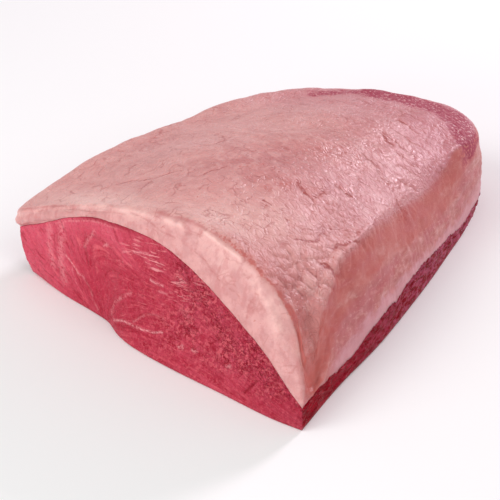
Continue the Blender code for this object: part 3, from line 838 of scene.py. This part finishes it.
def fat_material(colours):
    """Moist fat: a wrinkled pink skin on top, and smoother trimmed sides with faint veins."""
    make = Finish("moist_fat")
    mask, noise, edges = make.mask, make.noise, make.edges
    where, lengthwise = make.place(), make.place((1, 2.6, 1))
    front_to_back, across = make.place((1, 1.8, 1)), make.place((2.2, 1, 1), (0, 0, -0.12))
    mottle = noise(where, 5, 5.0, 0.62)
    fleck = noise(where, 1.4, 3.0, 0.65)
    patches = noise(where, 22, 3.0, 0.55)
    drawn_out = noise(lengthwise, 4.5, 5.0, 0.62)
    flake = noise(lengthwise, 1.2, 3.0, 0.65)
    rightward = mask("rightward")
    sideways = rightward * mask("over").ease(0.5, 4.0)
    rise = mask("rise") + (mottle - 0.5) * 0.25
    skin = (mask("over") + (drawn_out - 0.5) * 3 + (patches - 0.5) * 5).ease(-1.0, 1.0)

    lines = edges(make.wander(front_to_back, 3, 1.8), 2.1) * (1 - sideways)
    lines = lines + edges(make.wander(across, 3, 1.8), 2.2) * sideways
    # Painted shade along the creases that the bump below sinks.
    crease_shade = lines.ease(0.05, 0.0) * noise(where, 6, 3.0, 0.6).ease(0.48, 0.56)
    veins = edges(make.wander(where, 8, 5), 11).ease(0.045, 0.0) * noise(where, 9).ease(0.46, 0.58)
    top = make.coats(
        colours.fat_dusk,
        (patches.ease(0.30, 0.52), colours.fat_pink),
        (mottle.ease(0.46, 0.62) * 0.7, colours.fat_pale),
        ((1 - rightward) * 0.45, colours.fat_pale),
        (mask("mauve") * 0.8, colours.fat_mauve),
        (mask("cream") * mottle.ease(0.15, 0.5), colours.fat_cream_and_highlight),
        (mask("dull") * mottle.ease(0.35, 0.6) * 0.45, colours.fat_dusk),
        (veins * 0.5 + crease_shade * (rightward * 0.35 + 0.4), colours.fat_vein),
        # Painted shade in the folds and wrinkles, darker where they sink deeper.
        (mask("fold_shade") * 0.35, colours.fat_vein),
        # Painted shade along the listed creases, which the relief also sinks.
        ((mask("shaded_fold_line") + (fleck - 0.5) * 0.5).ease(0.62, 0.85), colours.fat_vein),
        (mask("spot") * fleck.ease(0.4, 0.6), colours.fat_rind),
        (fleck.ease(0.56, 0.75) * 0.3, colours.fat_pale),
        (fleck.ease(0.44, 0.26) * 0.3, colours.fat_dusk))

    lumps = noise(make.place((1, 1, 2.5)), 2.8, 4.0, 0.6)
    face = make.coats(
        colours.fat_cut,
        ((rise + (patches - 0.5) * 2.2).ease(0.5, 1.1) * 0.6, colours.fat_cream_and_highlight),
        (mottle.ease(0.42, 0.62) * 0.5, colours.fat_pale),
        (lumps.ease(0.50, 0.62) * 0.4, colours.fat_dusk),
        (fleck.ease(0.46, 0.28) * 0.25, colours.fat_dusk),
        (veins * 0.3 + crease_shade * 0.15, colours.fat_vein))

    streaks = noise(make.wander(make.place((1, 2.2, 1)), 6, 3), 2.6, 4.0, 0.6)
    marbled = noise(lengthwise, 6.5, 4.0, 0.6)
    side = make.coats(
        colours.fat_side,
        (marbled.ease(0.42, 0.58), colours.fat_tan),
        (marbled.ease(0.55, 0.66) * mask("creamy"), colours.fat_pale),
        (streaks.ease(0.45, 0.75) * 0.25, colours.fat_dusk),
        (drawn_out.ease(0.52, 0.62) * 0.4, colours.fat_pink),
        (flake.ease(0.56, 0.66) * 0.35, colours.fat_pale),
        (flake.ease(0.44, 0.34) * 0.25, colours.fat_side),
        (veins * 0.45 + crease_shade * 0.25, colours.fat_vein),
        ((rise + (drawn_out - 0.5) * 0.5).ease(0.36, 0.1) * 0.9, colours.fat_lilac))

    blotch = noise(make.place((2, 1, 1)), 2.4, 4.0, 0.7).ease(0.30, 0.46)
    deep = (mask("deep") * 1.5 + (mottle - 0.5) * 1.4 + (blotch - 1) * 0.7).ease(0.25, 1.05)
    deep = deep * noise(where, 1.2, 2.0).ease(0.62, 0.54)
    stained = (mask("edge") + (fleck - 0.5) * 3.0 + (mottle - 0.5) * 3.0).ease(0.7, 1.1)
    colour = make.coats(
        make.blend(skin, make.blend(mask("cut_side"), side, face), top),
        # Cream rolled strips along the ridge, lightened as painted highlight.
        (mask("roll") * mottle.ease(0.25, 0.6), colours.fat_cream_and_highlight),
        (mask("vein") * fleck.ease(0.3, 0.55) * 0.6, colours.fat_vein),
        (mask("rust") * (drawn_out.ease(0.36, 0.6) * 0.5 + 0.5), colours.fat_rind),
        (stained * 0.7, colours.fat_rind),
        (deep, colours.fat_deep))

    wet = mask("wet") * noise(where, 10, 4.0, 0.65).ease(0.42, 0.54)
    fine = noise(where, 0.42, 2.0, 0.6) * skin + noise(lengthwise, 0.42, 2.0, 0.6) * (1 - skin)
    scales = noise(front_to_back, 0.7, 3.0, 0.6) * (1 - sideways) + noise(across, 0.7, 3.0, 0.6) * sideways
    return make.done(
        Base_Color=colour, Roughness=mottle.ease(0.3, 0.7) * 0.12 - wet * 0.18 + deep * 0.25 + 0.34,
        Normal=make.bumps((fine, 0.14), (scales * (skin * 0.8 + 0.2), 0.21),
                          (lines.ease(0.0, 0.2) * skin, 0.16)),
        Subsurface_Weight=0.12, Subsurface_Radius=(1.0, 0.35, 0.25), Subsurface_Scale=0.003,
        Specular_IOR_Level=0.5)


def lean_material(colours):
    """Moist lean: a rose cut face with grain, pale streaks, painted glints and cracks, and dark fibrous
    sides.
    """
    make = Finish("moist_lean")
    mask, noise = make.mask, make.noise
    where, cut, grain = make.place(), mask("cut_side"), mask("grain")

    def grained(width, length, detail):
        """Noise drawn out along the grain, with this width and length in millimetres."""
        flow = make.node("ShaderNodeCombineXYZ", {}, {
            "X": mask("flow_across") * (1 / width), "Y": mask("flow_along") * (1 / length)})
        return make.node("ShaderNodeTexNoise", {}, {
            "Vector": flow, "Scale": 1.0, "Detail": detail, "Roughness": 0.6})

    cloud = noise(where, 14, 4.0, 0.6)
    broad, middling = grained(7, 40, 2.0), grained(1.6, 12, 4.0)
    broken = noise(where, 6).ease(0.42, 0.6)
    patchy = noise(where, 2.6, 4.0, 0.65)
    speck = noise(where, 1.2, 3.0, 0.7)
    # Painted glints: bright specks laid on in colour, standing in for wet highlights on the cut face.
    glint = noise(where, 0.7, 2.0, 0.6).ease(0.57, 0.66)
    lumps = make.wander(where, 2, 1.2)
    borders = make.edges(lumps, 1.3)
    facet = make.node("ShaderNodeTexVoronoi", {"feature": "F1"}, {
        "Vector": lumps, "Scale": 1 / (1.3 * MM)}, "Color")
    # Short bright strokes along the flow: painted glints of wet highlight, drawn in colour.
    glint_strokes = make.wander(make.place((11, 11, 1), (0, -0.15, 0)), 3, 0.7)
    glint_strokes = noise(glint_strokes, 0.75, 2.0, 0.6).ease(0.53, 0.60)
    face = make.coats(
        colours.lean_red,
        ((cloud - 0.5) + (broad - 0.5) * 1.8 + mask("rosy"), colours.lean_rose),
        (patchy.ease(0.46, 0.6) * (grain * 0.2 + 0.2), colours.lean_rose),
        (patchy.ease(0.46, 0.34) * (grain * 0.25 + 0.15), colours.lean_deep),
        (middling.ease(0.54, 0.64) * broken * 0.55, colours.lean_pale_and_glint),
        (middling.ease(0.46, 0.34) * 0.5, colours.lean_deep),
        (speck.ease(0.46, 0.34) * (grain * 0.1 + 0.25), colours.lean_deep),
        (facet.ease(0.5, 0.62) * grain * 0.7, colours.lean_rose),
        # The brightest facets of the grain are painted glints.
        (facet.ease(0.66, 0.74) * grain * 0.7, colours.lean_pale_and_glint),
        (borders.ease(0.12, 0.0) * broken * grain * 0.9, colours.lean_deep),
        (glint * (grain * 0.5 + 0.3), colours.lean_pale_and_glint),
        (glint_strokes * mask("glint_streaks"), colours.lean_pale_and_glint),
        (glint_strokes.ease(0.5, 1.0) * mask("glint_streaks") * 0.7, colours.sinew_and_glint),
        (mask("thread_and_glint") * speck.ease(0.38, 0.56), colours.sinew_and_glint))

    fibres = noise(make.place((1, 3.5, 1), (0.12, 0, 0)), 1.7, 5.0, 0.65)
    side = make.coats(
        colours.lean_deep,
        (fibres.ease(0.45, 0.58), colours.lean_crimson),
        # Further back the side turns mauve: painted reflected sheen.
        (fibres.ease(0.56, 0.7) * mask("back_sheen"), colours.lean_mauve_sheen),
        (fibres.ease(0.43, 0.56) * mask("back_sheen"), colours.lean_mauve_sheen))
    return make.done(
        # Darkened by the cracks, and by painted shade in the groove under the fat.
        Base_Color=make.coats(side, (cut, face), (mask("crack_and_groove_shade") * 0.65, colours.lean_deep)),
        Roughness=cloud.ease(0.2, 0.8) * 0.1 + 0.2,
        Normal=make.bumps((speck * cut, 0.4), (borders.ease(0.0, 0.3) * grain, 0.3),
                          (glint_strokes * mask("glint_streaks"), 0.15), (middling * cut, 0.6),
                          (fibres * (1 - cut), 0.5)),
        Subsurface_Weight=0.05, Subsurface_Radius=(1.0, 0.25, 0.2), Subsurface_Scale=0.002,
        Specular_IOR_Level=0.07, Specular_Tint=(1.0, 0.35, 0.42, 1.0))


# The pieces


def fat_relief(points, masks, skin, corner, shape):
    """How far each point of the fat moves out along its normal, and how deep in a fold it lies, which the
    material darkens as painted shade.

    On the skin: lobes are hills between the borders of wandering cells, and wrinkles are lines
    where a noise stretched across the piece crosses zero. On the trimmed edge: soft noise.
    """
    rise = masks["rise"]
    x, y = points[:, 0] / CUT_WIDTH, points[:, 1] / LENGTH
    drift = np.stack([soft_noise(points / 13, 20 + axis) for axis in range(3)], axis=1) * 3.0
    _, apart = cells((points + drift) / 6.8, 3)
    fold, lobe = bell(apart / 0.09), 1 - bell(apart / 0.35)
    lobed = 0.05 + 0.75 * blob(x, y, (0.84, 0.13), (0.09, 0.10))
    lobed += 0.2 * ease(soft_noise(points / 30, 31), 0.1, 0.6)
    turned = np.column_stack([points[:, 0] * 0.985 - points[:, 1] * 0.17,
                              points[:, 0] * 0.17 + points[:, 1] * 0.985, points[:, 2]])
    wrinkle = creases((turned + 0.8 * drift) / (14.0, 4.0, 5.0), 40)
    fine = creases((turned + 0.4 * drift) / (6.0, 1.8, 2.0), 44)
    wrinkled = 0.6 + 0.8 * ease(soft_noise(points / 24, 33), -0.3, 0.4)
    wrinkled *= 0.25 + 0.75 * ease(x + 0.5 * y, 0.4, 0.8)
    on_skin = shape.lobe_depth / MM * lobed * (lobe - 0.6 * fold)
    on_skin -= shape.wrinkle_depth / MM * (wrinkled * (0.5 * wrinkle + 0.4 * fine) + 1.1 * masks["shaded_fold_line"])
    uneven = layered(points / (9, 12, 5), 50, 3) + 0.25 * layered(points / (2, 7, 2), 55, 2)
    bulge = 4 * rise * (1 - rise)
    trimmed = ease(rise, 0.0, 0.12) * shape.trim_depth / MM * (uneven + 1.4 * bulge)
    trimmed += 1.2 * ease(rise, 0.0, 0.25) * corner
    on_skin += 0.45 * layered(points / 15, 37, 2)
    depth = np.clip(skin * (fold * lobed * 0.9 + wrinkle * wrinkled * 0.5 + fine * wrinkled * 0.2), 0, 1)
    drawn = 0.8 * masks["roll"] - 0.4 * masks["vein"]
    return skin * on_skin + (1 - skin) * trimmed + drawn * ease(rise, 0.0, 0.12), depth


def build_fat(shape, colours):
    """The fat's closed surface: underside, trimmed edge from the seam to the ridge, rounded ridge, top."""
    steps = FAT_STEPS
    at, _, seam, ridge, rounding = main_rings(steps)
    edge = ragged(at, seam) + (0, 0, SEAM_GAP)
    rounding = rounding * along(SOFT_RIDGE, at)
    inward = np.column_stack([towards_middle(ridge[:, :2]), 0 * rounding])
    body = crowned(ridge + inward * rounding[:, None], steps, shape.crown / MM)
    slope = inward_slope(body)
    drop = along(RIDGE_DROP, at)
    ridge = ridge - inward * along(RIDGE_OUT, at)[:, None] - np.outer(drop, (0, 0, 1))
    rounding = np.minimum(rounding, LONGEST_ROUNDING * np.linalg.norm(edge - ridge, axis=1))
    start = ridge + unit(edge - ridge) * rounding[:, None]
    end = ridge + inward * rounding[:, None]
    end[:, 2] += rounding * (slope + drop / FADING_LENGTH)
    for corner, passes in CORNER_PASSES.items():
        start, ridge, end = [softened(ring, at, corner, count)
                             for ring, count in zip((start, ridge, end), passes)]
    wall = between(edge, start, FAT_LEVELS)
    bend = fillet(start, ridge, end, RIDGE_LEVELS)[1:]
    top = drawn_to(body, end, steps)[1:-1, 1:-1].reshape(-1, 3)
    under, under_middle = hidden_cap(edge, steps)

    count = len(at)
    rings = np.concatenate([under[::-1], wall, bend])
    points = np.vstack([rings.reshape(-1, 3), top, under_middle])
    hidden = len(under)
    groups = [
        ring_quads(len(rings), count),
        grid_quads(steps, (len(rings) - 1) * count, len(rings) * count),
        fan(0, count, len(points) - 1, False),
    ]

    def spread(by_level, on_top, below):
        """A value for every point, from one for each ring level, one for the top and one below."""
        on_rings = np.repeat(np.concatenate([np.full(hidden, below), by_level]), count)
        return np.concatenate([on_rings, np.full(len(top), on_top), [below]])

    wall_share = np.linspace(0, 1, len(wall))
    bend_share = np.linspace(0, 1, len(bend) + 1)[1:]
    by_level = np.concatenate([wall_share * WALL_RISE, WALL_RISE + (1 - WALL_RISE) * bend_share])
    rise = spread(by_level, 1.0, 0.0)
    skin = spread(np.concatenate([0 * wall_share, ease(bend_share, 0.2, 0.7)]), 1.0, 0.0)
    wall_length = np.linalg.norm(start - edge, axis=1)
    over = np.concatenate([
        np.full(hidden * count, HIDDEN_DISTANCE),
        (-rounding - np.outer(1 - wall_share, wall_length)).ravel(),
        np.outer(2 * bend_share - 1, rounding).ravel(),
        rounding.mean() + nearest_gap(top, end),
        [HIDDEN_DISTANCE],
    ])
    station = np.concatenate([np.tile(at, len(rings)), np.full(len(top) + 1, 0.5)])
    visible = np.concatenate([np.repeat(np.arange(len(rings)) >= hidden, count), np.ones(len(top)), [0]])
    x, y = points[:, 0] / CUT_WIDTH, points[:, 1] / LENGTH
    side = 1 - skin
    near_right = ease(x + 0.4 * y, 0.85, 0.93) * ease(-y, -0.86, -0.78)
    on_cut = np.where(station <= 1.0, side, 0.0)
    right = side * window(station, 0.99, 1.01, 1.9, 2.3)
    band = right * ease(rise + 0.2 * ease(-station, -1.5, -1.1), 0.72, 0.92)
    wavy_x, wavy_y = [points[:, axis] + 1.6 * soft_noise(points / 4.5, 97 + axis) for axis in (0, 1)]
    seen_x = points[:, 0] + SIGHT_ACROSS * points[:, 1]
    seen_z = points[:, 2] + SIGHT_UP * points[:, 1]
    close = ease(-points[:, 1], -22, -14) * ease(-station, -1.3, -1.1)
    masks = {
        "rise": rise,
        "cut_side": on_cut,
        "over": over - 3.5 * near_right,
        "rightward": ease(x + 0.12 * soft_noise(points / 40, 93), 0.25, 0.6),
        "vein": near_lines(seen_x, seen_z, VEINS) * close,
        "roll": near_lines(seen_x, seen_z, HIGHLIT_ROLLS) * close,
        "rust": np.clip(
            0.75 * band + 0.7 * near_right * ease(-over, -5.0, -1.5) * skin
            + 0.5 * blob(x, y, (0.79, 0.06), (0.1, 0.05)) * skin
            + blob(x, y, (0.97, 0.05), (0.065, 0.085)) * visible * (1 - on_cut)
            + 0.9 * blob(station, rise, (1.04, 0.85), (0.06, 0.25)) * visible, 0, 1),
        "edge": bell(over / 1.8) * window(station, 0.62, 0.78, 1.04, 1.12),
        "cream": np.clip(
            blob(x, y, (0.24, 0.04), (0.26, 0.035)) + 0.9 * blob(x, y, (0.60, 0.08), (0.1, 0.05))
            + 0.5 * blob(x, y, (0.66, 0.16), (0.12, 0.08)), 0, 1) * 0.9,
        "deep": near_lines(points[:, 0], points[:, 1], DEEP_BAND) * ease(rise, 0.75, 1.0),
        "shaded_fold_line": near_lines(wavy_x, wavy_y, SHADED_CREASES) * skin,
        "dull": near_lines(wavy_x, wavy_y, DULL_STREAKS) * skin,
        "spot": near_lines(wavy_x, wavy_y, RED_SPOTS) * skin,
        "wet": blob(x, y, (0.60, 0.50), (0.24, 0.32)) * skin,
        "creamy": 0.4 + 0.6 * blob(station, rise, (1.22, 0.5), (0.12, 0.3)),
        "mauve": np.clip(0.9 * ease(y, 0.5, 0.9) + 0.5 * ease(x, 0.35, 0.7) * ease(y, 0.15, 0.4), 0, 1),
    }
    corner = side * (blob(station, rise, (1.05, 0.35), (0.06, 0.5))
                     + blob(np.minimum(station, 4 - station), rise, (0.0, 0.5), (0.12, 0.5)))
    relief, fold_shade = fat_relief(points, masks, skin, corner, shape)
    masks["fold_shade"] = fold_shade * visible
    points = points + point_normals(points, groups) * (relief * visible)[:, None]
    make_piece("fat_layer", place_in_frame(points), groups, masks, fat_material(colours),
               "root", "fat_cap")


def flow_fields(x, z):
    """Across and along the grain of the cut face, which springs from a notch near its foot.

    Across is the angle round the notch, and on the right it is divided by a share that falls
    with distance, so that the lines bend over and follow the seam. Along is the distance.
    """
    radius = np.hypot(x - NOTCH[0], z - NOTCH[1])
    angle = np.arctan2(z - NOTCH[1], x - NOTCH[0])
    bent = np.exp(-((radius / BEND_RADIUS) ** 1.5))
    share = bent + (1 - bent) * ease(angle, 0.9, 2.2)
    return angle / share * GRAIN_SPREAD, radius


def lean_relief(points, masks, rise, cleft, ends, shape):
    """How far each point of the lean moves out along its normal, and how dark its cracks are, with painted
    shade in the groove under the seam.

    On the cut face: small hills between cells where the grain is coarse, and long low waves along the flow.
    On the sides: fibres, from noise stretched from front to back. A groove and a line of painted highlight
    follow the seam; the material darkens the groove as painted shade.
    """
    cut, x = masks["cut_side"], points[:, 0]
    flow = np.column_stack([masks["flow_across"] / 1.3, masks["flow_along"] / 8, 0 * rise])
    waves = layered(flow, 60, 3)
    wobble = np.stack([soft_noise(points / 3, 70 + axis) for axis in range(3)], axis=1)
    _, apart = cells((points + 1.0 * wobble) / 1.8, 7)
    pits = bell(apart / 0.13) * masks["grain"]
    grain = shape.grain_depth / MM * (waves * 0.6 + layered(points / 4.5, 63, 3) * 0.7 - pits * 0.5)
    grain += 0.3 * masks["thread_and_glint"] - 0.6 * cleft
    fibres = shape.fibre_depth / MM * layered(points / (2, 9, 2), 66, 3)
    swing = window(rise, 0.0, 0.1, 0.94, 1.0)
    groove = 0.4 * bell((rise - 0.985) / 0.02) * window(x, 25, 40, 55, 75)
    bulge = 4 * rise * (1 - rise) * 1.3 * ends
    # A thin painted highlight just under the seam, laid on with the pale threads.
    seam_highlight = bell((rise - 0.962) / 0.01) * window(x, 10, 22, 45, 62)
    masks["thread_and_glint"] = np.maximum(masks["thread_and_glint"], 0.45 * seam_highlight * cut)
    relief = swing * (cut * grain + (1 - cut) * fibres) - cut * groove + bulge
    cracks = creases((points + 1.5 * wobble) / 9, 83)
    # Dark cracks and clefts, plus painted shade along the groove under the fat.
    crack_and_groove_shade = cut * (pits * 0.4 + ease(cracks, 0.75, 1.0) * 0.3 + cleft) + 2.0 * groove
    return relief, np.clip(crack_and_groove_shade, 0, 1)


def build_lean(shape, colours):
    """The lean's closed surface: flat underside, rounded foot, wall up to the seam, hidden top."""
    steps = LEAN_STEPS
    at, floor, seam, _, _ = main_rings(steps)
    seam = ragged(at, seam)
    inward = np.column_stack([towards_middle(floor[:, :2]), floor[:, 2]])
    floor = floor - inward * along(FOOT_OUT, at)[:, None]
    from_corner = np.minimum(at, 4 - at)
    rounding = FLOOR_ROUNDING + CORNER_ROUNDING * bell(from_corner / CORNER_ROUNDING_REACH)[:, None]
    top_of_foot = floor + unit(seam - floor) * rounding
    foot = fillet(floor + inward * rounding, floor, top_of_foot, FOOT_LEVELS)
    wall = between(top_of_foot, seam, LEAN_LEVELS)[1:]
    over, over_middle = hidden_cap(seam, steps)
    flat, flat_middle = hidden_cap(foot[0], steps)

    count = len(at)
    rings = np.concatenate([flat[::-1], foot, wall, over])
    points = np.vstack([rings.reshape(-1, 3), flat_middle, over_middle])
    groups = [
        ring_quads(len(rings), count),
        fan(0, count, len(points) - 2, False),
        fan((len(rings) - 1) * count, count, len(points) - 1, True),
    ]
    shown = np.concatenate([np.zeros(len(flat)), np.linspace(0, FOOT_RISE, len(foot)),
                            np.linspace(FOOT_RISE, 1, len(wall)), np.ones(len(over))])
    is_wall = np.concatenate([np.zeros(len(flat)), np.ones(len(foot) + len(wall)), np.zeros(len(over))])
    station = np.concatenate([np.tile(at, len(rings)), [1.5, 1.5]])
    rise = np.concatenate([np.repeat(shown, count), [0.0, 1.0]])
    visible = np.concatenate([np.repeat(is_wall, count), [0.0, 0.0]])
    x, z = points[:, 0], points[:, 2]
    across, lengthwise = flow_fields(x, z)
    cut = np.where(station <= 1.0, 1.0, 0.0) * visible
    rosy = (0.1 + 0.75 * ease(-x, -42, -12) + 0.4 * ease(rise, 0.7, 1.0) * ease(-x, -80, -50)
            + 0.15 * ease(x, 85, 120)
            + 0.6 * blob(x, z, (43, 38), (9, 6)) + 0.4 * blob(x, z, (62, 36), (12, 8))
            - 0.7 * blob(x, z, (68, 11), (9, 5)) - 0.6 * blob(x, z, (62, 20), (18, 10)))
    masks = {
        "cut_side": cut,
        "flow_across": across,
        "flow_along": lengthwise,
        "grain": np.clip((ease(x, 82, 98) * ease(z, 5, 14) + 0.35 * ease(x, 55, 80))
                         * (0.7 + 0.6 * layered(points / 12, 90, 2)), 0, 1),
        # Where the painted glint strokes lie on the cut face.
        "glint_streaks": blob(x, z, (80, 36), (21, 11)) * ease(layered(points / 9, 95, 2), -0.35, 0.25),
        "rosy": np.clip(rosy, -0.6, 1),
        "thread_and_glint": near_lines(x, z, THREADS_AND_GLINTS) * cut,
        "back_sheen": ease(station, 1.02, 1.7) * 0.7,
    }
    cleft = near_lines(x, z, CLEFTS) * cut
    ends = bell(np.minimum(station, 4 - station) / 0.12) * visible
    relief, masks["crack_and_groove_shade"] = lean_relief(points, masks, rise, cleft, ends, shape)
    points = points + point_normals(points, groups) * (relief * visible)[:, None]
    points[:, 2] = np.maximum(points[:, 2], 0.0)
    make_piece("lean_flesh", place_in_frame(points), groups, masks, lean_material(colours),
               "root", "lean_meat")


def area_light(name, place, size, power, colour):
    """A square soft light that looks at the middle of the piece."""
    lamp = bpy.data.lights.new(name, "AREA")
    lamp.shape = "SQUARE"
    lamp.size = size
    lamp.energy = power
    lamp.color = colour
    made = bpy.data.objects.new(name, lamp)
    made.location = place
    made.rotation_euler = (AIM - made.location).to_track_quat("-Z", "Y").to_euler()
    bpy.context.scene.collection.objects.link(made)


class PICANHA_OT_lean(bpy.types.Operator):
    """Build the lean meat round its solid"""

    bl_idname = "picanha.lean"
    bl_label = "Lean meat"

    def execute(self, context):
        build_lean(context.scene.picanha_shape, context.scene.picanha_colours)
        return {"FINISHED"}


class PICANHA_OT_fat(bpy.types.Operator):
    """Build the fat cap round its solid"""

    bl_idname = "picanha.fat"
    bl_label = "Fat cap"

    def execute(self, context):
        build_fat(context.scene.picanha_shape, context.scene.picanha_colours)
        return {"FINISHED"}


class PICANHA_OT_stage(bpy.types.Operator):
    """Set a pale floor, soft lights and the camera"""

    bl_idname = "picanha.stage"
    bl_label = "Stage"

    def execute(self, context):
        scene = context.scene
        corners = [(x * FLOOR_HALF, y * FLOOR_HALF, 0) for x, y in ((-1, -1), (1, -1), (1, 1), (-1, 1))]
        mesh = bpy.data.meshes.new("floor")
        mesh.from_pydata(corners, [], [(0, 1, 2, 3)])
        finish = Finish("pale_floor")
        mesh.materials.append(finish.done(Base_Color=tuple(scene.picanha_colours.floor), Roughness=0.9,
                                          Specular_IOR_Level=0.1))
        floor = bpy.data.objects.new("floor", mesh)
        scene.collection.objects.link(floor)

        world = bpy.data.worlds.new("studio")
        world.use_nodes = True
        background = world.node_tree.nodes["Background"].inputs
        background["Color"].default_value = (1.0, 1.0, 1.0, 1.0)
        background["Strength"].default_value = SURROUNDINGS
        scene.world = world
        scene.view_settings.view_transform = "Standard"

        for light in LIGHTS:
            area_light(*light)

        lens = bpy.data.cameras.new("camera")
        lens.sensor_width = 36.0
        lens.lens = CAMERA_LENS
        lens.shift_y = CAMERA_RISE
        lens.clip_start = 0.01
        camera = bpy.data.objects.new("camera", lens)
        azimuth, elevation = math.radians(CAMERA_AZIMUTH), math.radians(CAMERA_ELEVATION)
        back = Vector((math.sin(azimuth) * math.cos(elevation), -math.cos(azimuth) * math.cos(elevation),
                       math.sin(elevation)))
        camera.location = AIM + back * CAMERA_DISTANCE
        camera.rotation_euler = back.to_track_quat("Z", "Y").to_euler()
        scene.collection.objects.link(camera)
        scene.camera = camera
        return {"FINISHED"}


class VIEW3D_PT_picanha(bpy.types.Panel):
    """The picanha's pieces, sizes and colours"""

    bl_label = "Raw baby picanha"
    bl_space_type = "VIEW_3D"
    bl_region_type = "UI"
    bl_category = "Picanha"

    def draw(self, context):
        for operator in (PICANHA_OT_lean, PICANHA_OT_fat, PICANHA_OT_stage):
            self.layout.operator(operator.bl_idname)
        for group in (context.scene.picanha_shape, context.scene.picanha_colours):
            box = self.layout.box()
            for key in group.__annotations__:
                box.prop(group, key)


CLASSES = (PicanhaShape, PicanhaColours, PICANHA_OT_lean, PICANHA_OT_fat, PICANHA_OT_stage, VIEW3D_PT_picanha)


def register():
    for made in CLASSES:
        bpy.utils.register_class(made)
    bpy.types.Scene.picanha_shape = bpy.props.PointerProperty(type=PicanhaShape)
    bpy.types.Scene.picanha_colours = bpy.props.PointerProperty(type=PicanhaColours)


def unregister():
    del bpy.types.Scene.picanha_colours
    del bpy.types.Scene.picanha_shape
    for made in reversed(CLASSES):
        bpy.utils.unregister_class(made)


def main():
    register()
    bpy.ops.picanha.lean()
    bpy.ops.picanha.fat()
    bpy.ops.picanha.stage()


if __name__ == "__main__":
    main()
